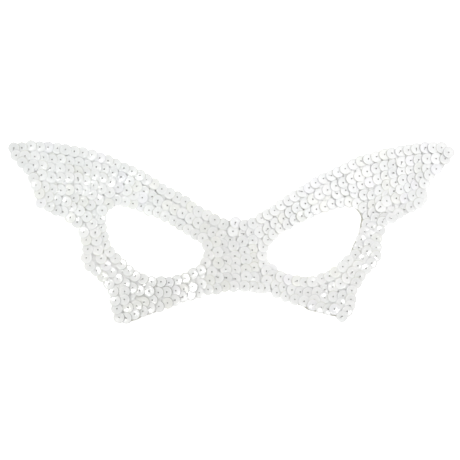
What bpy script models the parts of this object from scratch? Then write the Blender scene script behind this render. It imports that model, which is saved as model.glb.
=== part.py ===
"""White sequin bat mask, lying face up: a felt backing under two halves of sequin cloth.

Units are metres and +Z is up, out of the sequined face. +X is the wearer's left wing as seen from
the front, +Y is towards the brow. The origin is the centre of the footprint, on the table.
"""
import math

import bmesh
import bpy
import numpy as np
from mathutils import Matrix, Vector

# Driving dimensions of the whole mask
mask_width = 0.227
mask_height = 0.0925
felt_thickness = 0.0015
cloth_thickness = 0.0010
layer_gap = 0.0003

# The fold over the nose: a smooth arch that lies flat again at both ends of its span
nose_rise = 0.008
nose_span = 0.080
fold_count = 16

# The eye holes, each placed by its centre
left_eye_width = 0.0493
left_eye_height = 0.0371
right_eye_width = 0.0470
right_eye_height = 0.0361
left_eye_out = 0.0389
right_eye_out = 0.0424
eye_up = 0.0409

# One sequin and how the sequins are sewn
sequin_diameter = 0.0060
sequin_sides = 10
sequin_lift = 0.00045
sequin_lean_deg = 6.0
sequin_step = 0.0043
closest_step = 0.0034
left_seam_row = 0.0024
right_seam_row = 0.0016

# How far the layers stand back from the outer edge of the sequins
cloth_inset = 0.0016
felt_inset = 0.0012
felt_eye_inset = 0.0004
seam_gap = 0.0003

# Share of a sequin's radius that its centre keeps from a cut edge
edge_share = 0.92

# Share of an inset that an inset line keeps in a tight bay, where it would cross itself
inset_share = 0.97

# Spacing of points along a sheet's cut edge and along the fine guide lines, and curve steps a span
edge_spacing = 0.0045
guide_spacing = 0.0006
curve_steps = 12
merge_distance = 0.00001

# How far the outline cutters reach above and below the table
cutter_reach = 0.030

# The bat outline from the nose along the brow to the wing tip and back under the cheek.
# out is a share of half the mask's width, up a share of its height.
outline_columns = ("place", "left_out", "left_up", "right_out", "right_up")
outline_table = (
    ("nose", 0.000, 0.571, 0.000, 0.571),
    ("brow", 0.114, 0.610, 0.123, 0.582),
    ("brow", 0.181, 0.681, 0.199, 0.648),
    ("brow", 0.262, 0.731, 0.293, 0.725),
    ("brow", 0.360, 0.791, 0.378, 0.791),
    ("brow", 0.427, 0.852, 0.490, 0.852),
    ("shoulder", 0.535, 0.907, 0.557, 0.901),
    ("shoulder", 0.629, 0.956, 0.691, 0.945),
    ("shoulder", 0.705, 0.978, 0.772, 0.967),
    ("wing", 0.852, 0.989, 0.848, 0.984),
    ("wing", 0.942, 1.000, 0.937, 0.984),
    ("tip", 0.986, 0.984, 0.979, 0.967),
    ("tip", 1.003, 0.945, 1.003, 0.930),
    ("tip", 0.984, 0.900, 0.982, 0.885),
    ("under tip", 0.911, 0.813, 0.924, 0.813),
    ("first bay", 0.884, 0.764, 0.897, 0.775),
    ("first bay", 0.879, 0.709, 0.884, 0.714),
    ("first point", 0.866, 0.637, 0.852, 0.626),
    ("second bay", 0.834, 0.604, 0.803, 0.599),
    ("second bay", 0.763, 0.571, 0.745, 0.577),
    ("second point", 0.691, 0.522, 0.705, 0.544),
    ("side", 0.664, 0.462, 0.678, 0.495),
    ("side", 0.673, 0.363, 0.673, 0.396),
    ("side", 0.655, 0.313, 0.664, 0.324),
    ("side", 0.593, 0.247, 0.602, 0.231),
    ("lobe", 0.553, 0.187, 0.562, 0.159),
    ("lobe", 0.535, 0.110, 0.557, 0.110),
    ("lobe", 0.526, 0.027, 0.543, 0.038),
    ("lobe foot", 0.494, 0.000, 0.512, 0.000),
    ("lobe foot", 0.459, 0.002, 0.490, 0.016),
    ("cheek", 0.383, 0.038, 0.400, 0.060),
    ("cheek", 0.293, 0.077, 0.311, 0.093),
    ("cheek", 0.204, 0.115, 0.199, 0.143),
    ("nose side", 0.114, 0.154, 0.110, 0.168),
    ("nose", 0.000, 0.168, 0.000, 0.168),
)
tip_row = 12

# One eye hole. out is a share of its width from its centre away from the nose, up of its height.
eye_columns = ("place", "out", "up")
eye_table = (
    ("inner end", -0.500, -0.170),
    ("inner end", -0.450, 0.050),
    ("lid", -0.220, 0.230),
    ("lid", 0.060, 0.370),
    ("lid", 0.290, 0.480),
    ("outer top", 0.450, 0.430),
    ("outer side", 0.495, 0.240),
    ("outer side", 0.470, 0.020),
    ("outer side", 0.400, -0.200),
    ("under", 0.240, -0.370),
    ("under", 0.030, -0.490),
    ("under", -0.190, -0.450),
    ("under", -0.400, -0.350),
)

# The way up each sequin leans, which is towards the sequins that it lies on
lean_table = {
    "left": {"wing": (0.6, 0.8), "cheek": (0.8, -0.6)},
    "right": {"wing": (-0.8, -0.6), "cheek": (-0.8, -0.6)},
}


def clear_scene():
    for thing in list(bpy.data.objects):
        bpy.data.objects.remove(thing, do_unlink=True)


def collection_named(name):
    collection = bpy.data.collections.new(name)
    bpy.context.scene.collection.children.link(collection)
    return collection


def principled(name, colour, roughness):
    material = bpy.data.materials.new(name)
    material.use_nodes = True
    shader = material.node_tree.nodes["Principled BSDF"]
    shader.inputs["Base Color"].default_value = (*colour, 1.0)
    shader.inputs["Roughness"].default_value = roughness
    shader.inputs["Metallic"].default_value = 0.0
    return material


def side_sign(side):
    return 1.0 if side == "right" else -1.0


def distance_along(line):
    steps = np.hypot(*np.diff(line, axis=0).T)
    return np.concatenate([[0.0], np.cumsum(steps)])


def points_at(line, stations):
    """Points at these distances along the line."""
    run = distance_along(line)
    return np.column_stack([np.interp(stations, run, line[:, axis]) for axis in (0, 1)])


def stepped(line, step):
    """Points a step apart along the line, from its start."""
    return points_at(line, np.arange(0.0, distance_along(line)[-1], step))


def resample(line, spacing):
    """The same line, from end to end, with its points spaced evenly along it."""
    length = distance_along(line)[-1]
    return points_at(line, np.linspace(0.0, length, max(3, round(length / spacing)) + 1))


def smooth_line(points, spacing, closed=False):
    """A Catmull-Rom curve through the points."""
    points = np.array(points)
    if closed:
        guide = np.vstack([points[-1:], points, points[:2]])
    else:
        before = 2 * points[0] - points[1]
        after = 2 * points[-1] - points[-2]
        guide = np.vstack([before, points, after])
    shares = np.linspace(0.0, 1.0, curve_steps, endpoint=False)[:, None]
    spans = []
    for a, b, c, d in zip(guide, guide[1:], guide[2:], guide[3:]):
        straight = 2 * b + (c - a) * shares
        square = (2 * a - 5 * b + 4 * c - d) * shares ** 2
        cube = (3 * b - a - 3 * c + d) * shares ** 3
        spans.append((straight + square + cube) / 2)
    spans.append(guide[-2:-1])
    return resample(np.vstack(spans), spacing)


def column(table, names, name):
    index = names.index(name)
    return [row[index] for row in table]


def wing_points(side):
    half_width = side_sign(side) * mask_width / 2
    outs = column(outline_table, outline_columns, f"{side}_out")
    ups = column(outline_table, outline_columns, f"{side}_up")
    return [(out * half_width, (up - 0.5) * mask_height) for out, up in zip(outs, ups)]


def wing_line(side, spacing):
    """From the nose along the brow, round the wing tip and back under the cheek to the nose."""
    points = wing_points(side)
    brow = smooth_line(points[:tip_row + 1], spacing)
    under = smooth_line(points[tip_row:], spacing)
    return np.vstack([brow, under[1:]])


def eye_middle():
    """Height of the eye holes' centres above the middle of the mask."""
    return eye_up - mask_height / 2


def eye_loop(side, spacing):
    width = right_eye_width if side == "right" else left_eye_width
    height = right_eye_height if side == "right" else left_eye_height
    centre_out = right_eye_out if side == "right" else left_eye_out
    sign = side_sign(side)
    outs = column(eye_table, eye_columns, "out")
    ups = column(eye_table, eye_columns, "up")
    points = [(sign * (centre_out + out * width), eye_middle() + up * height) for out, up in zip(outs, ups)]
    return smooth_line(points, spacing, closed=True)[:-1]


def shifted(line, distance):
    """The line moved sideways, to its right as it runs."""
    along = np.gradient(line, axis=0)
    along /= np.linalg.norm(along, axis=1)[:, None]
    across = np.column_stack([along[:, 1], -along[:, 0]])
    return line + across * distance


def ring_around(loop, distance):
    """A closed loop moved outwards, or inwards where the distance is negative."""
    closed = np.vstack([loop[-2:], loop, loop[:2]])
    turn = np.sum(loop[:, 0] * np.roll(loop[:, 1], -1) - np.roll(loop[:, 0], -1) * loop[:, 1])
    return shifted(closed, math.copysign(distance, turn * distance))[2:-2]


def nearest(point, line):
    return np.min(np.hypot(*(line - point).T))


def encloses(loop, point):
    """Whether a closed loop goes round the point, counted by the edges to its right."""
    after = np.roll(loop, -1, axis=0)
    crosses = (loop[:, 1] > point[1]) != (after[:, 1] > point[1])
    start, end = loop[crosses], after[crosses]
    share = (point[1] - start[:, 1]) / (end[:, 1] - start[:, 1])
    return np.count_nonzero(start[:, 0] + share * (end[:, 0] - start[:, 0]) > point[0]) % 2 == 1


def sequin_places(side):
    """Centres of one half's border sequins: along the edge, round the eye and down the seam."""
    radius = sequin_diameter / 2
    sign = side_sign(side)
    seam_row = right_seam_row if side == "right" else left_seam_row
    wing = wing_line(side, guide_spacing)
    eye = eye_loop(side, guide_spacing)
    seam = np.array([(sign * seam_row, mask_height / 2), (sign * seam_row, -mask_height / 2)])
    edge_row = shifted(wing, sign * radius)
    eye_row = ring_around(eye, radius)
    rows = [stepped(row, sequin_step) for row in (edge_row, eye_row, seam)]
    room = radius * edge_share
    places = []
    for point in np.vstack(rows):
        on_cloth = encloses(wing, point) and not encloses(eye, point)
        clear_of_edges = nearest(point, wing) > room and nearest(point, eye) > room
        clear_of_seam = point[0] * sign > seam_row * edge_share
        clear_of_others = not places or nearest(point, np.array(places)) > closest_step
        if on_cloth and clear_of_edges and clear_of_seam and clear_of_others:
            places.append(point)
    return places


def fold_lines():
    return [(index / fold_count - 0.5) * nose_span for index in range(fold_count + 1)]


def nose_lift(x):
    """Height of the fold over the nose, straight between the fold lines."""
    lines = fold_lines()
    heights = [nose_rise / 2 * (1 + math.cos(2 * math.pi * line / nose_span)) for line in lines]
    return float(np.interp(x, lines, heights))


def object_from_bmesh(shape, name, collection, material=None):
    mesh = bpy.data.meshes.new(name)
    shape.to_mesh(mesh)
    shape.free()
    thing = bpy.data.objects.new(name, mesh)
    collection.objects.link(thing)
    if material:
        mesh.materials.append(material)
    return thing


def folded_board(name, collection, bottom, thickness, material):
    """A board larger than the mask, folded over the nose, for a sheet to be cut from."""
    lines = [-mask_width, *fold_lines(), mask_width]
    board = bmesh.new()
    bmesh.ops.create_grid(board, x_segments=len(lines) - 1, y_segments=1, size=mask_width)
    columns = sorted({round(vert.co.x, 6) for vert in board.verts})
    for vert in board.verts:
        x = lines[columns.index(round(vert.co.x, 6))]
        vert.co = (x, vert.co.y, bottom + nose_lift(x))
    raised = bmesh.ops.extrude_face_region(board, geom=board.faces[:])["geom"]
    corners = [item for item in raised if isinstance(item, bmesh.types.BMVert)]
    bmesh.ops.translate(board, verts=corners, vec=(0, 0, thickness))
    bmesh.ops.recalc_face_normals(board, faces=board.faces)
    return object_from_bmesh(board, name, collection, material)


def outline_cutter(name, collection, loops):
    """A tall prism of the first loop, with the other loops as holes through it."""
    curve = bpy.data.curves.new(name, "CURVE")
    curve.dimensions = "2D"
    curve.fill_mode = "BOTH"
    curve.extrude = cutter_reach
    for loop in loops:
        spline = curve.splines.new("POLY")
        spline.points.add(len(loop) - 1)
        for point, place in zip(spline.points, loop):
            point.co = (*place, 0.0, 1.0)
        spline.use_cyclic_u = True
    drawn = bpy.data.objects.new(name, curve)
    collection.objects.link(drawn)
    evaluated = drawn.evaluated_get(bpy.context.evaluated_depsgraph_get())
    prism = bmesh.new()
    prism.from_mesh(bpy.data.meshes.new_from_object(evaluated))
    bpy.data.objects.remove(drawn, do_unlink=True)
    bmesh.ops.remove_doubles(prism, verts=prism.verts, dist=merge_distance)
    return as_cutter(object_from_bmesh(prism, name, collection))


def as_cutter(thing):
    thing.hide_render = True
    thing.display_type = "WIRE"
    return thing


def combine(thing, operation, other, name):
    join = thing.modifiers.new(name, "BOOLEAN")
    join.operation = operation
    join.solver = "EXACT"
    join.use_self = operation == "UNION"
    join.object = other


def inset_outline(side, inset):
    wing = wing_line(side, guide_spacing)
    line = shifted(wing, side_sign(side) * inset)
    clear = [point for point in line if nearest(point, wing) > inset * inset_share]
    return resample(np.array(clear), edge_spacing)


def build_backing(collection, cutters, material):
    board = folded_board("backing", collection, 0.0, felt_thickness, material)
    right = inset_outline("right", felt_inset)
    left = inset_outline("left", felt_inset)
    outline = np.vstack([right[1:], left[::-1][:-1]])
    eyes = [ring_around(eye_loop(side, edge_spacing), felt_eye_inset) for side in ("left", "right")]
    combine(board, "INTERSECT", outline_cutter("backing_outline", cutters, [outline, *eyes]), "cut out")


def cloth_outline(side):
    """One half's ground cloth, cut straight along the nose seam."""
    line = inset_outline(side, cloth_inset)
    seam = side_sign(side) * seam_gap / 2
    line = line[np.abs(line[:, 0]) > seam_gap]
    return np.vstack([[(seam, line[0, 1])], line, [(seam, line[-1, 1])]])


def lean_post(post, place, lean):
    """Follow the fold over the nose at the post's place and tip its top face the way it leans."""
    slope = math.tan(math.radians(sequin_lean_deg))
    radius = sequin_diameter / 2
    tilt = (nose_lift(place.x + radius) - nose_lift(place.x - radius)) / sequin_diameter
    for vert in post:
        away = vert.co - place
        rise = nose_lift(place.x) + tilt * away.x
        if vert.co.z > place.z:
            rise += slope * (away.x * lean[0] + away.y * lean[1])
        vert.co.z += rise


def trim_at_seam(shape, post, side):
    """Cut a post that reaches over the seam, and close the cut."""
    sign = side_sign(side)
    seam = sign * seam_gap / 2
    if min(sign * vert.co.x for vert in post) > seam_gap / 2:
        return
    edges = {edge for vert in post for edge in vert.link_edges}
    faces = {face for vert in post for face in vert.link_faces}
    cut = bmesh.ops.bisect_plane(shape, geom=[*post, *edges, *faces], plane_co=(seam, 0, 0),
                                 plane_no=(-sign, 0, 0), dist=0.0, clear_outer=True)
    rim = [item for item in cut["geom_cut"] if isinstance(item, bmesh.types.BMEdge)]
    bmesh.ops.holes_fill(shape, edges=rim)


def sequin_posts(side):
    """Every border sequin of one half as a short post with a leaning top, in one bmesh."""
    posts = bmesh.new()
    low = felt_thickness + layer_gap + cloth_thickness / 2
    high = felt_thickness + layer_gap + cloth_thickness + sequin_lift
    radius = sequin_diameter / 2
    for x, y in sequin_places(side):
        lean = lean_table[side]["wing" if y > eye_middle() else "cheek"]
        place = Vector((x, y, (low + high) / 2))
        cone = bmesh.ops.create_cone(posts, cap_ends=True, segments=sequin_sides, radius1=radius,
                                     radius2=radius, depth=high - low, matrix=Matrix.Translation(place))
        lean_post(cone["verts"], place, lean)
        trim_at_seam(posts, cone["verts"], side)
    bmesh.ops.recalc_face_normals(posts, faces=posts.faces)
    return posts


def build_sequin_half(side, collection, cutters, material):
    name = f"sequins_{side}"
    cloth = folded_board(name, collection, felt_thickness + layer_gap, cloth_thickness, material)
    eye = ring_around(eye_loop(side, edge_spacing), cloth_inset)
    outline = outline_cutter(f"{name}_outline", cutters, [cloth_outline(side), eye])
    combine(cloth, "INTERSECT", outline, "cut out")
    posts = as_cutter(object_from_bmesh(sequin_posts(side), f"{name}_posts", cutters))
    combine(cloth, "UNION", posts, "sewn on")


def build():
    clear_scene()
    parts = collection_named("sequin_bat_mask")
    cutters = collection_named("cutters")
    felt = principled("cream felt", (0.78, 0.76, 0.66), 0.95)
    sequins = principled("white sequins", (0.86, 0.87, 0.87), 0.35)
    build_backing(parts, cutters, felt)
    for side in ("left", "right"):
        build_sequin_half(side, parts, cutters, sequins)


build()
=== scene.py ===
# %% [markdown]
# # White sequin bat mask
# A half mask for carnival or the stage, cut like a bat's spread wings. It is a stiff felt board under
# a cloth that is covered with pearly white sequins, and it folds over the nose. Everything is in metres,
# lying face up on a table: +X to the right, +Y to the brow, +Z out of the sequins.

import math
import random

import bmesh
import bpy
import numpy as np
from mathutils import Matrix, Vector


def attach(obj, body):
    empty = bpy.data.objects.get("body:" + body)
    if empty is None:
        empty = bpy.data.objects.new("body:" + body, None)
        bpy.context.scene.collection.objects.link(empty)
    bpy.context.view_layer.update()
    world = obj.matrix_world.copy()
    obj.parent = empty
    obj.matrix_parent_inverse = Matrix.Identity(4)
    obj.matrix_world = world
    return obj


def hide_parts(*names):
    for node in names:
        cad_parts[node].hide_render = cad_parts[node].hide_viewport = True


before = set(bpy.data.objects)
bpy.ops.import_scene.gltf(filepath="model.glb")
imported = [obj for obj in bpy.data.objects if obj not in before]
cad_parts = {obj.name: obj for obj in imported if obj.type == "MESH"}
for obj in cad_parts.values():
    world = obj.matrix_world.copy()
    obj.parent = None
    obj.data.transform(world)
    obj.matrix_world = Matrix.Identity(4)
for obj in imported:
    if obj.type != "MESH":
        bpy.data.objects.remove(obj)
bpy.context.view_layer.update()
random.seed(21)                 # another seed may let sequins cut through others

# %% [markdown]
# ## Camera, floor and light
# The photograph looks straight down on the mask. A long lens from well above keeps the wings from
# spreading towards the picture's edge. The table is a light table, a plain white floor that shines a
# little, which is how a shop photo loses the shadow round a thin thing. It lies a hair below the felt,
# because two faces in one plane flicker. Round it stands a white tent with two soft windows: the strong
# one, beyond the brow at the right, puts a thin shadow under every sequin edge that faces away from it.
# Five small lamps near the camera are what a sequin that happens to face them mirrors as a white patch.
# Three of these have a grid before them, which keeps their light on the left cheek, the right side and
# the bridge.

# %% Camera
camera_height = 1.2
photo_pixel = 0.000508          # one pixel of the photograph on the mask
photo_width = 460
photo_middle = (230.5, 231.0)   # the pixel at the middle of the mask
sequin_level = 0.003            # the height at which photo_pixel holds


def from_photo(px, py):
    """A place on the mask, in metres, from a pixel of the photograph."""
    return (px - photo_middle[0]) * photo_pixel, (photo_middle[1] - py) * photo_pixel


lens_data = bpy.data.cameras.new("camera above the table")
lens_data.lens = lens_data.sensor_width * camera_height / (photo_width * photo_pixel)
camera = bpy.data.objects.new("camera", lens_data)
bpy.context.scene.collection.objects.link(camera)
frame_middle = from_photo(photo_width / 2 - 0.5, photo_width / 2 - 0.5)
camera.location = (*frame_middle, camera_height + sequin_level)
bpy.context.scene.camera = camera
bpy.context.scene.view_settings.view_transform = "Standard"
print("lens", round(lens_data.lens, 1), "mm")

# %% Helpers for an object and a material
def object_of(shape, name, material):
    """Turn a bmesh into an object at the origin, with its place in its mesh."""
    mesh = bpy.data.meshes.new(name)
    shape.to_mesh(mesh)
    shape.free()
    mesh.materials.append(material)
    thing = bpy.data.objects.new(name, mesh)
    bpy.context.scene.collection.objects.link(thing)
    return thing


def new_material(name, colour, roughness):
    """A material, and its Principled shader with a colour and a roughness."""
    material = bpy.data.materials.new(name)
    material.use_nodes = True
    shader = material.node_tree.nodes["Principled BSDF"]
    shader.inputs["Base Color"].default_value = (*colour, 1.0)
    shader.inputs["Roughness"].default_value = roughness
    return material, shader


# %% Light table
table_glow = 0.6
table_half = 2.5
table_drop = 0.0001             # how far the table lies below the felt
table_white, table_shader = new_material("light table", (0.8, 0.8, 0.8), 0.9)
table_shader.inputs["Emission Color"].default_value = (1.0, 1.0, 1.0, 1.0)
table_shader.inputs["Emission Strength"].default_value = table_glow
sheet_of_light = bmesh.new()
bmesh.ops.create_grid(sheet_of_light, x_segments=1, y_segments=1, size=table_half)
bmesh.ops.translate(sheet_of_light, verts=sheet_of_light.verts, vec=(0, 0, -table_drop))
light_table = object_of(sheet_of_light, "light_table", table_white)
print("table", 2 * table_half, "m wide")

# %% Light tent
tent_wall = 0.66
tent_top = 0.26
wall_height = 0.78              # the walls reach up to this share of the way to straight up
top_height = 0.95


def light_tent():
    """White walls all round, bright at a low angle, and a dim top where the camera looks in."""
    world = bpy.data.worlds.new("light tent")
    world.use_nodes = True
    tree = world.node_tree
    add, link = tree.nodes.new, tree.links.new
    direction = add("ShaderNodeTexCoord")
    parts = add("ShaderNodeSeparateXYZ")
    link(direction.outputs["Generated"], parts.inputs[0])
    walls = add("ShaderNodeValToRGB")
    steps = ((wall_height, tent_wall), (top_height, tent_top))
    for element, (height, shine) in zip(walls.color_ramp.elements, steps):
        element.position = height
        element.color = (shine, shine, shine, 1.0)
    link(parts.outputs["Z"], walls.inputs["Fac"])
    link(walls.outputs["Color"], tree.nodes["Background"].inputs["Color"])
    return world


bpy.context.scene.world = light_tent()

# %% Windows and lamps
def soft_light(name, towards, distance, size, power, aim, spread):
    """A square area light on the side towards, turned to aim. A small spread is a grid before it."""
    data = bpy.data.lights.new(name, "AREA")
    data.size = size
    data.energy = power
    data.spread = spread
    lamp = bpy.data.objects.new(name, data)
    bpy.context.scene.collection.objects.link(lamp)
    lamp.location = Vector(towards).normalized() * distance
    lamp.rotation_euler = (Vector(aim) - lamp.location).to_track_quat("-Z", "Y").to_euler()


mask_middle = (0.0, 0.0, 0.0)
left_cheek = (*from_photo(150, 290), 0.0)
right_side = (*from_photo(355, 262), 0.0)
bridge = (*from_photo(250, 256), 0.006)
bare = math.pi
grid = math.radians(4.5)
lamps = (
    # name, on which side, distance, size, watts, aimed at, spread
    ("window right", (0.55, 0.45, 0.70), 1.8, 0.36, 18.5, mask_middle, bare),
    ("window left", (-0.72, 0.0, 0.66), 1.8, 0.28, 7.6, mask_middle, bare),
    ("gleam on the cheek", (-0.205, -0.03, 0.97), 1.5, 0.12, 0.0010, left_cheek, grid),
    ("gleam on the side", (0.11, -0.20, 1.0), 1.5, 0.09, 0.0005, right_side, grid),
    ("gleam on the bridge", (0.52, -0.05, 1.0), 1.5, 0.17, 0.0007, bridge, grid),
    ("gleam left", (-0.26, -0.03, 0.96), 1.5, 0.10, 0.08, mask_middle, bare),
    ("gleam right", (0.19, 0.10, 0.98), 1.5, 0.40, 1.0, mask_middle, bare),
)
for lamp in lamps:
    soft_light(*lamp)
print(len(lamps), "lights")

# %% [markdown]
# ## Felt backing
# The board under the sequins is stiffened felt, cut with scissors. Its cut line is read from the packed
# model's node, so that it can't drift from it, then smoothed, filled, folded over the nose and given a
# thickness with soft edges. In the photograph it shows as a thin olive line beside the right eye and
# under both cheeks, where it was cut a little wider than the sequins. The cut line swells there.

# %% Cut lines
merge_distance = 0.00001


def underside_loops(node):
    """The closed edge lines of a node's underside, longest first, as rows of (x, y)."""
    shape = bmesh.new()
    shape.from_mesh(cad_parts[node].data)
    bmesh.ops.remove_doubles(shape, verts=shape.verts, dist=merge_distance)
    shape.normal_update()
    underside = {face for face in shape.faces if face.normal.z < -0.5}
    rim = [edge for edge in shape.edges if len(underside & set(edge.link_faces)) == 1]
    loops = []
    while rim:
        edge = rim.pop(0)
        start, vert = edge.verts
        line = [start.co.xy.copy()]
        while vert is not start:
            line.append(vert.co.xy.copy())
            edge = next(other for other in rim if vert in other.verts)
            rim.remove(edge)
            vert = edge.other_vert(vert)
        loops.append(np.array(line))
    shape.free()
    return sorted(loops, key=len, reverse=True)


felt_loops = underside_loops("backing")
print("cut lines:", [len(loop) for loop in felt_loops])

# %% Smooth lines
cut_spacing = 0.0015


def curve_through(points, spacing, closed):
    """A smooth line through the points, with its own points evenly spaced."""
    points = np.array(points, float)
    if closed:
        guide = np.vstack([points[-1:], points, points[:2]])
    else:
        guide = np.vstack([2 * points[0] - points[1], points, 2 * points[-1] - points[-2]])
    shares = np.linspace(0.0, 1.0, 10, endpoint=False)[:, None]
    spans = []
    for a, b, c, d in zip(guide, guide[1:], guide[2:], guide[3:]):
        spans.append((2 * b + (c - a) * shares + (2 * a - 5 * b + 4 * c - d) * shares ** 2
                      + (3 * b - a - 3 * c + d) * shares ** 3) / 2)
    spans.append(guide[-2:-1])
    line = np.vstack(spans)
    run = np.concatenate([[0.0], np.cumsum(np.hypot(*np.diff(line, axis=0).T))])
    stations = np.linspace(0.0, run[-1], max(2, round(run[-1] / spacing)) + 1)
    return np.column_stack([np.interp(stations, run, line[:, axis]) for axis in (0, 1)])


def outwards(loop):
    """Unit vectors that point away from what a closed loop goes round."""
    along = np.roll(loop, -1, axis=0) - np.roll(loop, 1, axis=0)
    across = np.column_stack([along[:, 1], -along[:, 0]])
    across /= np.linalg.norm(across, axis=1)[:, None]
    turn = np.sum(loop[:, 0] * np.roll(loop[:, 1], -1) - np.roll(loop[:, 0], -1) * loop[:, 1])
    return across if turn > 0 else -across


def cut_line(loop, growth, swells=()):
    """A loop moved outwards by growth, and further by each swell (px, py, reach across, how far)."""
    smooth = curve_through(loop, cut_spacing, closed=True)[:-1]
    grow = np.full(len(smooth), growth)
    for px, py, reach, far in swells:
        near = np.hypot(*(smooth - from_photo(px, py)).T) / reach
        grow += far * np.clip(1 - near ** 2, 0, 1)
    return smooth + outwards(smooth) * grow[:, None]


# %% Fold over the nose
nose_rise = 0.008
nose_span = 0.080
fold_steps = 32
fold_lines = [(index / fold_steps - 0.5) * nose_span for index in range(fold_steps + 1)]


def nose_lift(x):
    """Height of the fold over the nose."""
    inside = np.abs(x) < nose_span / 2
    return np.where(inside, nose_rise / 2 * (1 + np.cos(2 * math.pi * np.asarray(x) / nose_span)), 0.0)


def fold_slope(x):
    """How steeply the fold rises towards +X."""
    step = 0.002
    return (nose_lift(x + step) - nose_lift(x - step)) / (2 * step)


print("fold", nose_rise * 1000, "mm high and", nose_span * 1000, "mm wide")

# %% [markdown]
# ## Cutting a sheet
# Felt and net are both cut from flat stock. A curve drawn along the cut lines and filled gives the flat
# shape with its eye holes in one go, which is quicker than cutting holes in a plate with a boolean and
# leaves fewer stray faces. Then come the creases for the fold, the thickness by extruding, a rounded
# edge by a bevel, and last the fold itself, which only lifts the points.

# %% Flat shape
def flat_shape(loops):
    """A flat bmesh inside the first loop and outside the others."""
    drawn = bpy.data.curves.new("cut lines", "CURVE")
    drawn.dimensions = "2D"
    drawn.fill_mode = "BOTH"
    for loop in loops:
        spline = drawn.splines.new("POLY")
        spline.points.add(len(loop) - 1)
        for point, place in zip(spline.points, loop):
            point.co = (*place, 0.0, 1.0)
        spline.use_cyclic_u = True
    holder = bpy.data.objects.new("cut lines", drawn)
    bpy.context.scene.collection.objects.link(holder)
    drawing = holder.evaluated_get(bpy.context.evaluated_depsgraph_get())
    flat = bpy.data.meshes.new_from_object(drawing)
    bpy.data.objects.remove(holder)
    sheet = bmesh.new()
    sheet.from_mesh(flat)
    bmesh.ops.remove_doubles(sheet, verts=sheet.verts, dist=merge_distance)
    return sheet


# %% Cut sheet
half_seam = 0.00015             # half the gap between the two halves of the net
corner_turn = 1.2               # radians between two faces that meet at the cut edge
sharp_turn = 0.7                # radians past which an edge is shaded sharp


def cut_sheet(loops, bottom, thickness, edge, side=None):
    """A sheet cut along the loops, folded over the nose, with a rounded edge. side keeps one half."""
    sheet = flat_shape(loops)
    if side:
        bmesh.ops.bisect_plane(sheet, geom=[*sheet.verts, *sheet.edges, *sheet.faces], dist=0.000001,
                               plane_co=(side * half_seam, 0, 0), plane_no=(-side, 0, 0),
                               clear_outer=True)
    bmesh.ops.dissolve_limit(sheet, angle_limit=0.01, verts=[], edges=sheet.edges[:])
    for x in fold_lines:
        bmesh.ops.bisect_plane(sheet, geom=[*sheet.verts, *sheet.edges, *sheet.faces],
                               dist=merge_distance, plane_co=(x, 0, 0), plane_no=(1, 0, 0))
    bmesh.ops.recalc_face_normals(sheet, faces=sheet.faces)
    if sum(face.normal.z for face in sheet.faces) > 0:
        bmesh.ops.reverse_faces(sheet, faces=sheet.faces)
    raised = bmesh.ops.extrude_face_region(sheet, geom=sheet.faces[:], use_keep_orig=True)["geom"]
    top = [item for item in raised if isinstance(item, bmesh.types.BMVert)]
    bmesh.ops.translate(sheet, verts=top, vec=(0, 0, thickness))
    bmesh.ops.recalc_face_normals(sheet, faces=sheet.faces)
    corners = [line for line in sheet.edges
               if not line.is_boundary and line.calc_face_angle(0) > corner_turn]
    level = [line for line in corners
             if abs(line.verts[0].co.z - line.verts[1].co.z) < thickness / 2]
    bmesh.ops.bevel(sheet, geom=level, affect="EDGES", offset=edge, segments=2, profile=0.5,
                    material=-1)
    for vert in sheet.verts:
        vert.co.z += bottom + float(nose_lift(vert.co.x))
    for face in sheet.faces:
        face.smooth = True
    for line in sheet.edges:
        line.smooth = line.calc_face_angle(0) < sharp_turn
    return sheet


# %% [markdown]
# ## Grain shared by felt, net and thread
# All three are made of fine fibres, matted in the felt and twisted in the thread. Modelling fibres would
# cost millions of faces for something a photograph barely shows, so a node group makes them from two
# noises, a fine one for the fibres and a broad one for patches. It is built once, and each material
# places it with its own scale, two colours and depth of bump.

# %% Fibre group
def value_socket(tree, name, way, kind="NodeSocketFloat", value=None):
    """Give a node group a named input or output."""
    socket = tree.interface.new_socket(name=name, in_out=way, socket_type=kind)
    if value is not None:
        socket.default_value = value


def fibre_group():
    """Matted fibres: a mask of light and dark, and a height for bump."""
    tree = bpy.data.node_groups.new("fibre grain", "ShaderNodeTree")
    value_socket(tree, "Vector", "INPUT", "NodeSocketVector")
    value_socket(tree, "Scale", "INPUT", value=900.0)
    value_socket(tree, "Patch Scale", "INPUT", value=60.0)
    value_socket(tree, "Mask", "OUTPUT")
    value_socket(tree, "Height", "OUTPUT")
    add = tree.nodes.new
    link = tree.links.new
    given = add("NodeGroupInput")
    out = add("NodeGroupOutput")
    fine = add("ShaderNodeTexNoise")
    fine.inputs["Detail"].default_value = 4.0
    fine.inputs["Distortion"].default_value = 1.6
    patch = add("ShaderNodeTexNoise")
    patch.inputs["Detail"].default_value = 3.0
    link(given.outputs["Vector"], fine.inputs["Vector"])
    link(given.outputs["Vector"], patch.inputs["Vector"])
    link(given.outputs["Scale"], fine.inputs["Scale"])
    link(given.outputs["Patch Scale"], patch.inputs["Scale"])
    blend = add("ShaderNodeMath")
    blend.operation = "MULTIPLY_ADD"
    link(fine.outputs["Fac"], blend.inputs[0])
    blend.inputs[1].default_value = 0.6
    share = add("ShaderNodeMath")
    share.operation = "MULTIPLY"
    share.inputs[1].default_value = 0.4
    link(patch.outputs["Fac"], share.inputs[0])
    link(share.outputs[0], blend.inputs[2])
    link(blend.outputs[0], out.inputs["Mask"])
    link(fine.outputs["Fac"], out.inputs["Height"])
    return tree


fibre_grain = fibre_group()


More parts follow.
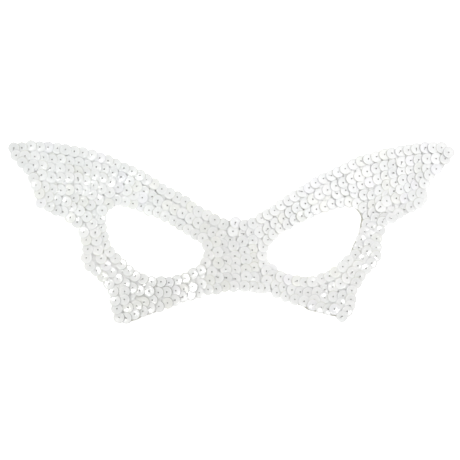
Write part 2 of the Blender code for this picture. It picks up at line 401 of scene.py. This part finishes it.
def two_tone(material, shader, dark, light, scale, patch_scale, bump, depth):
    """Wire the fibre grain into a material: a ramp of two colours, and a bump, which is returned."""
    add = material.node_tree.nodes.new
    link = material.node_tree.links.new
    place = add("ShaderNodeTexCoord")
    grain = add("ShaderNodeGroup")
    grain.node_tree = fibre_grain
    grain.inputs["Scale"].default_value = scale
    grain.inputs["Patch Scale"].default_value = patch_scale
    link(place.outputs["Object"], grain.inputs["Vector"])
    ramp = add("ShaderNodeValToRGB")
    for element, position, colour in zip(ramp.color_ramp.elements, (0.35, 0.65), (dark, light)):
        element.position = position
        element.color = (*colour, 1.0)
    link(grain.outputs["Mask"], ramp.inputs["Fac"])
    link(ramp.outputs["Color"], shader.inputs["Base Color"])
    relief = add("ShaderNodeBump")
    relief.inputs["Strength"].default_value = bump
    relief.inputs["Distance"].default_value = depth
    link(grain.outputs["Height"], relief.inputs["Height"])
    link(relief.outputs["Normal"], shader.inputs["Normal"])
    return relief


# %% Felt material
felt_material, felt_shader = new_material("cream felt", (0.6, 0.58, 0.5), 0.95)
two_tone(felt_material, felt_shader, dark=(0.52, 0.52, 0.46), light=(0.72, 0.72, 0.65), scale=1400.0,
         patch_scale=70.0, bump=0.6, depth=0.0003)
felt_shader.inputs["Sheen Weight"].default_value = 0.25
felt_shader.inputs["Sheen Roughness"].default_value = 0.6

# %% Felt board
felt_thickness = 0.0015
felt_edge = 0.00035
felt_inset = 0.0006             # how far the felt stays inside the sequins' outline
felt_eye_inset = 0.0008
# px and py on the photograph, reach, and how far the felt comes out there
cheek_swells = ((131, 322, 0.008, 0.0016), (144, 317, 0.008, 0.0012), (157, 312, 0.008, 0.0016),
                (304, 304, 0.009, 0.0020), (319, 309, 0.008, 0.0018), (334, 315, 0.008, 0.0013))
eye_swells = ((361, 217, 0.009, -0.0002), (357, 237, 0.010, -0.0017), (349, 253, 0.009, -0.0022),
              (339, 264, 0.008, -0.0020))
felt_cut = [cut_line(felt_loops[0], -felt_inset, swells=cheek_swells)]
felt_cut += [cut_line(loop, felt_eye_inset, swells=eye_swells) for loop in felt_loops[1:]]
felt = object_of(cut_sheet(felt_cut, 0.0, felt_thickness, felt_edge), "felt_backing", felt_material)
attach(felt, "root")
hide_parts("backing")

# %% [markdown]
# ## Ground cloth
# Sequins are sewn to a net before the shape is cut out. It shows only as a pale edge between the felt and
# the sequins, seen from the side, and through the gaps where three sequins meet. Modelled threads would
# be wasted there, so it is a sheet with its weave in the bump, cut from the same lines as the felt and
# set back from them, in two halves that meet down the nose.

# %% Net material
cloth_material, cloth_shader = new_material("white net", (0.85, 0.85, 0.83), 0.8)
weave_relief = two_tone(cloth_material, cloth_shader, dark=(0.62, 0.62, 0.60), light=(0.84, 0.84, 0.82),
                        scale=2600.0, patch_scale=200.0, bump=0.5, depth=0.0002)
threads_per_metre = 600.0


def net_threads(material, relief):
    """Two sets of fine waves, square to each other, raise the net's threads."""
    add = material.node_tree.nodes.new
    link = material.node_tree.links.new
    place = add("ShaderNodeTexCoord")
    heights = []
    for direction in ("X", "Y"):
        wave = add("ShaderNodeTexWave")
        wave.wave_type = "BANDS"
        wave.bands_direction = direction
        wave.inputs["Scale"].default_value = threads_per_metre
        wave.inputs["Distortion"].default_value = 0.4
        link(place.outputs["Object"], wave.inputs["Vector"])
        heights.append(wave.outputs["Fac"])
    higher = add("ShaderNodeMath")
    higher.operation = "MAXIMUM"
    link(heights[0], higher.inputs[0])
    link(heights[1], higher.inputs[1])
    link(higher.outputs[0], relief.inputs["Height"])


net_threads(cloth_material, weave_relief)

# %% Net cloth
cloth_bottom = 0.0018
cloth_thickness = 0.0009
cloth_edge = 0.0002
cloth_inset = 0.0005
cloth_eye_inset = 0.0012
cloth_cut = [cut_line(felt_loops[0], -cloth_inset)]
cloth_cut += [cut_line(loop, cloth_eye_inset) for loop in felt_loops[1:]]
for name, side in (("left", -1), ("right", 1)):
    shape = cut_sheet(cloth_cut, cloth_bottom, cloth_thickness, cloth_edge, side=side)
    cloth = object_of(shape, f"net_cloth_{name}", cloth_material)
    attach(cloth, "root")
    print(cloth.name, len(cloth.data.polygons), "faces")

# %% [markdown]
# ## Where the sequins sit
# The sequins are sewn in rows: three or four follow the brow, rings go round each eye, and short columns
# run down the nose. A rule that spaces them evenly looks machine made, and rows that are charted one by one
# look sewn, so each row is a smooth line through a few places read off the photograph, and a count.
# Rows called "under" are sequins that lie below the others, and wherever the chart still leaves the net
# bare, one more is tucked in. They show as slivers, like the lower layer of tiles on a roof.

# %% Chart of the rows
rows = {
    "left": (
        ("brow 1", 27, (13, 148), (37, 146), (71, 150), (104, 159), (146, 179), (162, 189), (178, 197),
         (201, 212), (222, 223)),
        ("brow 2", 26, (16, 155), (44, 157), (71, 161), (106, 170), (137, 186), (159, 201), (184, 214),
         (205, 228), (221, 235)),
        ("tip edge", 3, (22, 162), (28, 169), (32, 177)),
        ("brow 3", 14, (33, 164), (45, 167), (69, 169), (95, 175), (111, 182), (126, 190), (142, 197)),
        ("brow 4", 9, (42, 175), (51, 177), (77, 178), (94, 185), (109, 192)),
        ("wing 1", 9, (36, 185), (59, 189), (83, 190), (98, 199)),
        ("wing 2", 7, (39, 193), (64, 201), (76, 197), (90, 205)),
        ("wing edge", 6, (41, 202), (54, 209), (64, 213), (76, 222)),
        ("wing 3", 4, (71, 206), (79, 210), (87, 216), (92, 223)),
        ("eye ring", 34, (102, 210), (116, 200), (141, 206), (174, 220), (203, 239), (208, 252), (202, 268),
         (193, 273), (175, 281), (146, 280), (124, 267), (106, 247), (101, 223), (102, 210)),
        ("second ring", 19, (95, 232), (97, 251), (106, 266), (120, 280), (135, 289), (152, 291),
         (172, 291), (191, 286), (217, 277)),
        ("side", 12, (83, 231), (87, 247), (87, 262), (101, 275), (112, 290), (118, 317)),
        ("cheek 1", 13, (126, 317), (143, 310), (163, 304), (190, 294), (224, 285)),
        ("cheek 2", 6, (124, 290), (127, 307), (142, 302), (152, 300)),
        ("nose 1", 5, (223, 243), (224, 254), (225, 261), (225, 268), (225, 277)),
        ("nose 2", 4, (215, 240), (217, 253), (217, 264), (211, 272)),
        ("under", 2, (96, 214), (103, 201)),
        ("under", 3, (119, 194), (152, 202), (165, 199)),
        ("under", 2, (134, 284), (134, 298)),
        ("under", 6, (229, 228), (229, 279)),
        ("under", 5, (110, 266), (128, 287)),
    ),
    "right": (
        ("nose 1", 9, (235, 222), (233, 230), (232, 238), (233, 247), (235, 257), (235, 266), (236, 275),
         (234, 286)),
        ("nose 2", 8, (245, 224), (242, 235), (243, 247), (245, 257), (244, 265), (245, 274), (244, 285)),
        ("nose 3", 8, (252, 222), (251, 233), (252, 242), (253, 251), (253, 259), (254, 267), (254, 276),
         (252, 286)),
        ("nose 4", 1, (259, 231), (260, 231)),
        ("brow 1", 26, (260, 218), (273, 210), (293, 196), (302, 191), (318, 181), (341, 170), (355, 163),
         (384, 154), (404, 150), (421, 148), (439, 147), (448, 152)),
        ("brow 2", 23, (268, 228), (284, 217), (306, 202), (333, 186), (357, 176), (379, 167), (412, 160),
         (445, 158)),
        ("brow 3", 13, (337, 193), (354, 187), (372, 181), (394, 172), (420, 168), (436, 168)),
        ("brow 4", 10, (355, 193), (373, 194), (387, 184), (410, 179), (429, 175)),
        ("wing 1", 8, (373, 204), (392, 191), (408, 187), (424, 183)),
        ("wing 2", 7, (373, 212), (390, 199), (406, 198), (421, 192)),
        ("wing 3", 7, (376, 218), (391, 217), (403, 209), (418, 203)),
        ("eye ring", 35, (267, 239), (290, 222), (320, 207), (347, 201), (365, 209), (366, 226), (356, 251),
         (342, 266), (326, 276), (305, 282), (276, 275), (265, 271), (262, 254), (267, 239)),
        ("second ring", 17, (372, 227), (368, 245), (360, 262), (347, 277), (332, 287), (306, 292),
         (276, 284)),
        ("side", 10, (382, 222), (376, 238), (375, 257), (361, 274), (351, 290)),
        ("cheek 1", 8, (343, 295), (324, 297), (304, 301), (276, 292)),
        ("cheek 2", 5, (341, 303), (330, 309), (313, 304)),
        ("lobe", 4, (350, 299), (349, 308), (342, 315)),
        ("foot", 3, (266, 280), (264, 289), (258, 288)),
        ("under", 2, (392, 206), (400, 204)),
        ("under", 2, (421, 198), (330, 197)),
        ("under", 2, (369, 254), (343, 288)),
        ("under", 4, (239, 230), (240, 270)),
    ),
}


# %% Places from the chart
row_spacing = 0.0002
nudge_sewn = 0.0002
nudge_nose = 0.0004


def sequin_places(side):
    """Centres of one half's sequins, in metres, nudged as a hand would."""
    places = []
    for name, count, *marks in rows[side]:
        closed = marks[0] == marks[-1]
        if closed:
            marks = marks[:-1]
        line = curve_through([from_photo(*mark) for mark in marks], row_spacing, closed)
        run = np.concatenate([[0.0], np.cumsum(np.hypot(*np.diff(line, axis=0).T))])
        stations = np.linspace(0.0, run[-1], count, endpoint=not closed)
        nudge = nudge_nose if name.startswith("nose") else nudge_sewn
        for station in stations:
            place = [np.interp(station, run, line[:, axis]) for axis in (0, 1)]
            places.append((*[value + random.gauss(0.0, nudge) for value in place], name == "under"))
    return np.array(places)


# %% Fill the gaps
outline_spacing = 0.002
cut_lines = [curve_through(loop, outline_spacing, closed=True)[:-1] for loop in felt_loops]
gap_grid = 0.0008               # how closely the net is searched for bare places
gap_edge = 0.0018               # nearer to the edge than this nothing is added
gap_reach = 0.00285             # a place is bare when the next sequin's centre is further off


def encloses(loop, spots):
    """Which spots a closed loop goes round, by counting the edges to the right of each."""
    after = np.roll(loop, -1, axis=0)
    x, y = spots[:, :1], spots[:, 1:]
    crosses = (loop[:, 1] > y) != (after[:, 1] > y)
    share = (y - loop[:, 1]) / np.where(crosses, after[:, 1] - loop[:, 1], 1.0)
    to_the_right = crosses & (loop[:, 0] + share * (after[:, 0] - loop[:, 0]) > x)
    return np.count_nonzero(to_the_right, axis=1) % 2 == 1


def with_gaps_filled(places, sign):
    """Add a buried sequin wherever the charted ones would leave the net showing."""
    across, along = np.meshgrid(np.arange(gap_grid, 0.110, gap_grid), np.arange(-0.044, 0.044, gap_grid))
    spots = np.column_stack([sign * across.ravel(), along.ravel()])
    outline, *eyes = cut_lines
    cloth = encloses(outline, spots)
    for eye in eyes:
        cloth &= ~encloses(eye, spots)
    spots = spots[cloth]
    line = np.vstack(cut_lines)
    to_line = np.min(np.hypot(*(spots[:, None] - line[None]).transpose(2, 0, 1)), axis=1)
    for spot in spots[to_line > gap_edge]:
        if np.min(np.hypot(*(places[:, :2] - spot).T)) > gap_reach:
            places = np.vstack([places, (*spot, True)])
    return places


places = {}
for side, sign in (("left", -1), ("right", 1)):
    places[side] = with_gaps_filled(sequin_places(side), sign)
every_place = np.vstack([places["left"], places["right"]])
buried = every_place[:, 2] > 0
every_place = every_place[:, :2]
print(len(every_place), "sequins,", np.count_nonzero(buried), "of them buried")

# %% [markdown]
# ## How the sequins lie on each other
# Each sequin lies on the next like a roof tile, and which edge is on top changes over the mask: mostly
# the upper right one on the left brow, the lower left one on the right brow. A second chart notes it at
# some fifty places, and a sequin takes the mean of the places round it, near ones most. Over the nose
# they lie flatter and less in order.

# %% Chart of the leans
bridge_half = 0.018             # the bridge reaches this far on each side of the seam
lean_blur = 0.002               # evens out the weights of the nearest places
muddle_bridge = 20.0            # degrees by which a lean strays from the chart
muddle_wing = 14.0

# where on the photograph (px, py), and which way the edge on top faces there, in degrees
lean_chart = (
    (20, 150, 80), (60, 150, 75), (110, 165, 70), (160, 188, 60), (215, 220, 60), (45, 170, 60),
    (80, 175, 50), (45, 195, -25), (75, 208, -15), (95, 205, -20), (120, 203, -60), (152, 213, 200),
    (190, 232, 210), (210, 255, 20), (222, 250, 60), (222, 278, 60), (215, 275, 0), (88, 240, -35),
    (105, 265, -35), (115, 285, 0), (125, 310, -5), (160, 295, 0), (190, 288, 10),
    (235, 225, 215), (245, 246, 40), (250, 272, 50), (235, 280, 70), (262, 235, 220), (265, 260, 200),
    (280, 215, 215), (320, 195, 215), (360, 180, 205), (340, 200, 235), (400, 160, 188), (440, 155, 190),
    (400, 185, 190), (420, 190, 160), (400, 205, 120), (370, 210, 150), (375, 235, 100), (370, 260, 90),
    (350, 280, 140), (340, 300, 120), (320, 300, 90), (290, 285, 180), (300, 295, 100),
)


def lean_of(place):
    """Unit vector towards the edge that is on top, for a sequin at this place."""
    total = Vector((0.0, 0.0))
    for px, py, angle in lean_chart:
        x, y = from_photo(px, py)
        weight = 1 / (math.hypot(place[0] - x, place[1] - y) + lean_blur) ** 3
        total += weight * Vector((math.cos(math.radians(angle)), math.sin(math.radians(angle))))
    muddle = muddle_bridge if abs(place[0]) < bridge_half else muddle_wing
    turned = math.atan2(total.y, total.x) + math.radians(random.gauss(0.0, muddle))
    return math.cos(turned), math.sin(turned)


# %% [markdown]
# ## Settling
# Setting 600 discs by eye would leave many of them cutting through others. So each starts tipped the way
# the chart says, and a loop goes over the overlapping pairs again and again, lifts and tips both a little
# where the upper one doesn't clear the lower one, and lets them sag back towards where they started. In
# the last rounds nothing sags. How many pairs still cut each other after that depends on the random seed,
# and this one was picked because it leaves none, taking each disc as flat.

# %% Start tipped
sequin_radius = 0.0030
cloth_top = cloth_bottom + cloth_thickness
rest_height = cloth_top + 0.00045
buried_drop = 0.0002
tip = math.tan(math.radians(5.2))
bridge_tip = 0.50               # how steeply they lie on the bridge, as a share of the rest
tip_scatter = 0.18
slope_scatter = 0.012


def tipped(spots, lean, below):
    """Height and two slopes of each disc before it meets its neighbours."""
    steep = tip * np.array([random.gauss(1.0, tip_scatter) for spot in spots])
    steep *= np.where(np.abs(spots[:, 0]) < bridge_half, bridge_tip, 1.0)
    wobble = np.array([[random.gauss(0.0, slope_scatter) for axis in (0, 1)] for spot in spots])
    return np.column_stack([nose_lift(spots[:, 0]) + rest_height - buried_drop * below,
                            lean[:, 0] * steep + fold_slope(spots[:, 0]) + wobble[:, 0],
                            lean[:, 1] * steep + wobble[:, 1]])


# %% Pairs
least_overlap = 0.0002          # pairs that overlap less are left alone
probe_long = 0.97               # where a pair is probed, as shares of half the overlap's length and width
probe_wide = 0.95
buried_rank = 9.0               # large enough to put a buried sequin under any other


def stacked_pairs(spots, lean, below):
    """The upper and the lower sequin of each pair that overlaps, and five places to probe each pair."""
    gaps = np.hypot(*(spots[:, None] - spots[None]).transpose(2, 0, 1))
    first, second = np.nonzero(np.triu(gaps < 2 * sequin_radius - least_overlap, 1))
    between = spots[second] - spots[first]
    apart = np.linalg.norm(between, axis=1)
    towards = between / apart[:, None]
    rank = np.sum((lean[first] + lean[second]) * towards, axis=1)
    rank = rank + buried_rank * (below[second] - below[first])
    upper = np.where(rank < 0, second, first)
    lower = np.where(rank < 0, first, second)
    middle = (spots[first] + spots[second]) / 2
    across = np.column_stack([-towards[:, 1], towards[:, 0]])
    half_long = np.sqrt(sequin_radius ** 2 - (apart / 2) ** 2) * probe_long
    half_wide = (sequin_radius - apart / 2) * probe_wide
    probes = [middle, middle + across * half_long[:, None], middle - across * half_long[:, None],
              middle + towards * half_wide[:, None], middle - towards * half_wide[:, None]]
    return upper, lower, probes


# %% Settle
clearance = 0.00011             # how far the upper one should stand above the lower one
push_share = 0.22               # how much of what is missing one round makes up
tilt_ease = 0.35 / sequin_radius ** 2   # how readily a disc tips rather than lifts
sag_share = 0.02
cloth_gap = 0.0001              # how far a disc's lowest edge stays above the net
settling_steps = 240
steps_without_sag = 60


def settled(spots, buried):
    """Height and two slopes of each sequin's disc, with the overlapping ones moved apart."""
    lean = np.array([lean_of(spot) for spot in spots])
    below = buried.astype(float)
    start = tipped(spots, lean, below)
    upper, lower, probes = stacked_pairs(spots, lean, below)
    side_slope = fold_slope(spots[:, 0])
    ease = np.array([1.0, tilt_ease, tilt_ease])
    one = np.ones(len(upper))
    levers = []
    for probe in probes:
        up = np.column_stack([one, probe - spots[upper]])
        low = np.column_stack([one, probe - spots[lower]])
        total = np.sum(up * up * ease, axis=1) + np.sum(low * low * ease, axis=1)
        levers.append((up, low, total))
    disc = start.copy()

    def missing(up, low):
        """How far each pair is short of the clearance at a probe."""
        return clearance - np.sum(disc[upper] * up, axis=1) + np.sum(disc[lower] * low, axis=1)

    for step in range(settling_steps):
        change = np.zeros_like(disc)
        for up, low, total in levers:
            push = np.clip(missing(up, low), 0.0, None)
            np.add.at(change, upper, push_share * (push / total)[:, None] * up * ease)
            np.add.at(change, lower, -push_share * (push / total)[:, None] * low * ease)
        sag = sag_share if step < settling_steps - steps_without_sag else 0.0
        disc += change + sag * (start - disc)
        reach = np.hypot(disc[:, 1] - side_slope, disc[:, 2]) * sequin_radius
        floor = nose_lift(spots[:, 0]) + cloth_bottom + cloth_thickness + cloth_gap + reach
        disc[:, 0] = np.maximum(disc[:, 0], floor)
    crossing = np.any([missing(up, low) > clearance for up, low, total in levers], axis=0)
    print(len(upper), "overlapping pairs,", np.count_nonzero(crossing), "still cross at a probe")
    return disc


discs = settled(every_place, buried)
print("highest sequin centre", round(float(discs[:, 0].max() * 1000), 2), "mm")

# %% [markdown]
# ## One sequin
# A sequin is pressed from thin plastic film: a slightly dished middle with a round hole, a crease, and a
# thin brim that turns up a little. Half of its cross-section is four points, and spinning that round
# gives the disc. It keeps to 64 faces because there are 600 of them, and the finer pressed rings are
# left to the bump. The crease is marked sharp, so the middle and the brim catch the light apart.

# %% Spin a sequin
sequin_facets = 16
uv_per_metre = 100
crease_turn = 0.06              # radians past which an edge of the disc is shaded sharp
# radius and height of the four corners of half a cross-section
section = ((0.00042, -0.00004), (0.00215, 0.0), (0.0030, 0.00008), (0.00215, -0.00005))


def sequin_template():
    """One sequin, face up round the origin, with a UV map that measures across its face."""
    shape = bmesh.new()
    corners = [shape.verts.new((radius, 0.0, height)) for radius, height in section]
    sides = [shape.edges.new(pair) for pair in zip(corners, [*corners[1:], corners[0]])]
    bmesh.ops.spin(shape, geom=[*corners, *sides], cent=(0, 0, 0), axis=(0, 0, 1), angle=math.tau,
                   steps=sequin_facets, use_merge=True)
    bmesh.ops.remove_doubles(shape, verts=shape.verts, dist=0.000001)
    bmesh.ops.recalc_face_normals(shape, faces=shape.faces)
    face_uv = shape.loops.layers.uv.new("sequin")
    for face in shape.faces:
        face.smooth = True
        for corner in face.loops:
            x, y = corner.vert.co.xy
            corner[face_uv].uv = (0.5 + x * uv_per_metre, 0.5 + y * uv_per_metre)
    for edge in shape.edges:
        edge.smooth = edge.calc_face_angle(0) < crease_turn
    mesh = bpy.data.meshes.new("one sequin")
    shape.to_mesh(mesh)
    shape.free()
    return mesh


one_sequin = sequin_template()
print("faces of a sequin:", len(one_sequin.polygons))

# %% [markdown]
# ## Pearl
# The film is white plastic with a pearl coat. Its base colour comes from a tint on each sequin. The middle
# has a clear coat and mirrors the lamps, the pressed brim is duller, and the raised side of the cut edge
# is painted darker: painted shade that deepens the thin shadow this edge throws on the sequin below. All
# three read the sequin's own UV map, so they stay centred on the hole. Each sequin is laid with the map's U
# towards its raised side, so the material knows it.

# %% Wiring helpers
def plug(tree, given, socket):
    """Set a socket to a number, or link another node's output to it."""
    if isinstance(given, float):
        socket.default_value = given
    else:
        tree.links.new(given, socket)


def calc(tree, operation, *values):
    """The result of a Math node."""
    node = tree.nodes.new("ShaderNodeMath")
    node.operation = operation
    for socket, given in zip(node.inputs, values):
        plug(tree, given, socket)
    return node.outputs[0]


def ramp_mask(tree, value, low, high):
    """0 below low, 1 above high."""
    mask = tree.nodes.new("ShaderNodeMapRange")
    mask.inputs["From Min"].default_value = low
    mask.inputs["From Max"].default_value = high
    tree.links.new(value, mask.inputs["Value"])
    return mask.outputs["Result"]


def attribute(tree, name):
    """A colour stored on the mesh."""
    node = tree.nodes.new("ShaderNodeAttribute")
    node.attribute_name = name
    return node.outputs["Color"]


def blend(tree, kind, amount, first, second):
    """One colour from two."""
    node = tree.nodes.new("ShaderNodeMix")
    node.data_type = "RGBA"
    node.blend_type = kind
    for socket, given in (("Factor", amount), ("A", first), ("B", second)):
        plug(tree, given, node.inputs[socket])
    return node.outputs["Result"]


# %% Parts of a sequin's face
brim_from = (0.212, 0.218)      # radii on the UV map, which is 0.1 to a millimetre
# radii on the UV map over which the painted edge shade comes in
shaded_edge_from = (0.268, 0.288)


def sequin_masks(tree):
    """How far a point is from the hole, whether it is on the brim, and whether on the raised cut edge."""
    add, link = tree.nodes.new, tree.links.new
    uv = add("ShaderNodeUVMap")
    uv.uv_map = "sequin"
    centre = add("ShaderNodeVectorMath")
    centre.operation = "SUBTRACT"
    centre.inputs[1].default_value = (0.5, 0.5, 0.0)
    link(uv.outputs["UV"], centre.inputs[0])
    length = add("ShaderNodeVectorMath")
    length.operation = "LENGTH"
    link(centre.outputs[0], length.inputs[0])
    radius = length.outputs["Value"]
    side = add("ShaderNodeSeparateXYZ")
    link(centre.outputs[0], side.inputs[0])
    raised = ramp_mask(tree, calc(tree, "DIVIDE", side.outputs["X"], radius), -0.2, 0.7)
    brim = ramp_mask(tree, radius, *brim_from)
    # painted shade on the raised side of the cut edge, deepening the shadow line it throws
    shaded_edge = calc(tree, "MULTIPLY", ramp_mask(tree, radius, *shaded_edge_from), raised)
    return radius, brim, shaded_edge


# %% Pearl material
pearl, pearl_shader = new_material("white pearl sequin", (0.8, 0.8, 0.8), 0.3)
pearl_shader.inputs["Coat Roughness"].default_value = 0.08
pearl_shader.inputs["Coat IOR"].default_value = 1.6


def wire_gloss(tree, radius, brim):
    """A clear coat on the middle, a duller brim with pressed rings, and film that isn't quite even."""
    add, link = tree.nodes.new, tree.links.new
    link(calc(tree, "MULTIPLY_ADD", brim, -0.60, 0.75), pearl_shader.inputs["Coat Weight"])
    link(calc(tree, "MULTIPLY_ADD", brim, 0.20, 0.30), pearl_shader.inputs["Roughness"])
    rings = add("ShaderNodeBump")
    rings.inputs["Strength"].default_value = 0.35
    rings.inputs["Distance"].default_value = 0.00002
    waves = calc(tree, "SINE", calc(tree, "MULTIPLY", radius, 150.0))
    link(calc(tree, "MULTIPLY", waves, brim), rings.inputs["Height"])
    place = add("ShaderNodeTexCoord")
    ripple = add("ShaderNodeTexNoise")
    ripple.inputs["Scale"].default_value = 260.0
    ripple.inputs["Detail"].default_value = 1.0
    link(place.outputs["Object"], ripple.inputs["Vector"])
    uneven = add("ShaderNodeBump")
    uneven.inputs["Strength"].default_value = 1.0
    uneven.inputs["Distance"].default_value = 0.00009
    link(ripple.outputs["Fac"], uneven.inputs["Height"])
    link(rings.outputs["Normal"], uneven.inputs["Normal"])
    link(uneven.outputs["Normal"], pearl_shader.inputs["Normal"])


def wire_colour(tree, shaded_edge):
    """The sequin's tint, drifting a little over the mask, and the painted edge shade along the raised cut
    edge.
    """
    add, link = tree.nodes.new, tree.links.new
    place = add("ShaderNodeTexCoord")
    drift = add("ShaderNodeTexNoise")
    drift.inputs["Scale"].default_value = 130.0
    link(place.outputs["Object"], drift.inputs["Vector"])
    shade = add("ShaderNodeValToRGB")
    shade.color_ramp.elements[0].position = 0.3
    shade.color_ramp.elements[0].color = (0.96, 0.97, 0.97, 1.0)
    shade.color_ramp.elements[1].position = 0.7
    shade.color_ramp.elements[1].color = (1.0, 0.995, 0.99, 1.0)
    link(drift.outputs["Fac"], shade.inputs["Fac"])
    film = blend(tree, "MULTIPLY", 1.0, attribute(tree, "tint"), shade.outputs["Color"])
    # painted edge shade mixed into the base colour
    film = blend(tree, "MIX", shaded_edge, film, attribute(tree, "edge shade"))
    link(film, pearl_shader.inputs["Base Color"])


from_hole, on_brim, on_shaded_edge = sequin_masks(pearl.node_tree)
wire_gloss(pearl.node_tree, from_hole, on_brim)
wire_colour(pearl.node_tree, on_shaded_edge)
print("pearl:", len(pearl.node_tree.nodes), "nodes")

# %% [markdown]
# ## Tint of each sequin
# In the photograph the sequins aren't all one white. They are cooler on the wings, warmer on the nose and
# cheeks, a little darker at the two tips, and a few lean to lilac or cream. Just right of the seam they are
# darker too: painted shade that evens out the window's light on that slope of the fold. Along the raised
# side of a disc's cut edge a painted shade deepens the shadow line that the edge throws, and by how much
# differs from place to place. Two vertex colours hold the tint and the painted edge shade, so that one
# material does for all.

# %% Tints
cool_and_warm = {
    "left": ((0.795, 0.807, 0.798), (0.742, 0.744, 0.729)),
    "right": ((0.785, 0.789, 0.786), (0.768, 0.770, 0.760)),
}
tip_from = 0.105                # past this x a wing's tip begins
lilac_share = 0.08
cream_share = 0.10


def tint_of(place):
    """Base colour of a sequin: cooler on the wings, warmer on the nose and cheeks."""
    x, y = place
    wing = min(1.0, abs(x) / 0.030) / (1 + math.exp(-(y + 0.004) / 0.006))
    cool, warm = cool_and_warm["left" if x < 0 else "right"]
    # the dip just right of the seam is painted shade, evening out the window's light on that slope of the
    # fold
    shade = 1.0 + random.gauss(0.0, 0.018) - 0.05 * math.exp(-((x - 0.008) / 0.009) ** 2)
    if abs(x) > tip_from:
        shade -= 0.06
    if x < -0.060 and y < -0.002:
        shade += 0.015
    blush = random.random()
    colour = [(a * wing + b * (1 - wing)) * shade for a, b in zip(cool, warm)]
    if blush < lilac_share:
        colour = [colour[0] * 0.995, colour[1] * 0.988, colour[2] * 1.01]
    elif blush < lilac_share + cream_share:
        colour = [colour[0], colour[1], colour[2] * 0.975]
    return (*[min(value, 0.9) for value in colour], 1.0)


def edge_shade_of(place, tint):
    """Painted shade for the raised cut edge: darkest on the left cheek and the right brow, tinted olive or
    lilac.
    """
    x, y = place
    if abs(x) < bridge_half:
        dark = 0.17
    elif x < 0:
        dark = 0.55 if y < -0.008 and x > -0.060 else 0.20
    else:
        dark = 0.33 if y > 0.004 else 0.16
        dark -= 0.12 * (x > 0.072 and y < 0.021)
    dark = min(max(dark + random.gauss(0.0, 0.10), 0.1), 0.8)
    hue = (1.0, 1.0, 0.90) if random.random() < 0.55 else (0.99, 0.98, 1.02)
    return (*[value * (1 - dark) * part for value, part in zip(tint, hue)], 1.0)


# %% How a sequin is turned
def raised_side(disc, place):
    """Which way the raised edge faces, as an angle from +X, with the slope of the fold taken off."""
    return math.atan2(disc[2], disc[1] - float(fold_slope(place[0])))


def disc_matrix(place, disc):
    """Where a settled sequin is, and the way that it is turned."""
    normal = Vector((-disc[1], -disc[2], 1.0)).normalized()
    upright = Vector((0, 0, 1)).rotation_difference(normal).to_matrix().to_4x4()
    return Matrix.Translation((*place, disc[0])) @ upright


matrices = [disc_matrix(place, disc) for place, disc in zip(every_place, discs)]

# %% Sew the sequins on
left_count = len(places["left"])
halves = {"left": range(left_count), "right": range(left_count, len(every_place))}


def sewn_sequins(side):
    """One half's sequins as a single mesh, each with its own tint and painted edge shade."""
    shape = bmesh.new()
    tint = shape.verts.layers.float_color.new("tint")
    # vertex colour holding the painted shade for the raised cut edge
    edge_shade = shape.verts.layers.float_color.new("edge shade")
    for index in halves[side]:
        known = len(shape.verts)
        shape.from_mesh(one_sequin)
        shape.verts.ensure_lookup_table()
        turn = Matrix.Rotation(raised_side(discs[index], every_place[index]), 4, "Z")
        where = matrices[index] @ turn
        colour = tint_of(every_place[index])
        # buried sequins get no painted edge shade
        edge_shade_colour = colour if buried[index] else edge_shade_of(every_place[index], colour)
        for vert in shape.verts[known:]:
            vert.co = where @ vert.co
            vert[tint] = colour
            vert[edge_shade] = edge_shade_colour
    return shape


for side in ("left", "right"):
    sequins = object_of(sewn_sequins(side), f"pearl_sequins_{side}", pearl)
    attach(sequins, "root")
    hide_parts(f"sequins_{side}")
    print(sequins.name, len(sequins.data.polygons), "faces")

# %% [markdown]
# ## Stitches
# Each sequin is held by thread through its hole. The thread is clear nylon, painted dark grey here: the
# knot in each hole is painted shade for the hole, so that it reads as a small dark dot, and here and there
# a longer stitch lies over the disc as a short dark dash of the same dark thread.

# %% Thread
# painted shade: the thread's dark grey stands in for the shade inside each sequin's hole
thread, thread_shader = new_material("thread painted as hole shade", (0.2, 0.2, 0.19), 0.45)
two_tone(thread, thread_shader, dark=(0.24, 0.24, 0.23), light=(0.42, 0.42, 0.40), scale=3000.0,
         patch_scale=120.0, bump=0.3, depth=0.00005)

# %% Knots and dashes
knot_radius = 0.00038
knot_sink = 0.00003             # how far a knot's middle lies below the disc's
dash_share = 0.09               # how many holes have a dash of thread
dash_lift = 0.00014
flat = Matrix.Diagonal((1.0, 1.0, 0.3, 1.0))
in_hole = Matrix.Translation((0, 0, -knot_sink)) @ flat


def stitches(side):
    """A knot in every hole that shows, and a dash of thread from some."""
    shape = bmesh.new()
    for index in halves[side]:
        if buried[index]:
            continue
        # a knot of the dark thread in the hole, painted shade for the hole
        knot = bmesh.ops.create_uvsphere(shape, u_segments=6, v_segments=4, radius=knot_radius)["verts"]
        bmesh.ops.transform(shape, matrix=matrices[index] @ in_hole, verts=knot)
        if random.random() < dash_share:
            length = random.uniform(0.0009, 0.0017)
            angle = random.gauss(3.6, 0.9)
            dash = bmesh.ops.create_cone(shape, cap_ends=True, segments=6, radius1=0.00014,
                                         radius2=0.00010, depth=length)["verts"]
            laid = (Matrix.Rotation(angle, 4, "Z") @ Matrix.Translation((length / 2, 0, dash_lift))
                    @ Matrix.Rotation(math.pi / 2, 4, "Y"))
            bmesh.ops.transform(shape, matrix=matrices[index] @ laid, verts=dash)
    for face in shape.faces:
        face.smooth = True
    return shape


for side in ("left", "right"):
    sewing = object_of(stitches(side), f"stitches_{side}", thread)
    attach(sewing, "root")
    print(sewing.name, len(sewing.data.polygons), "faces")
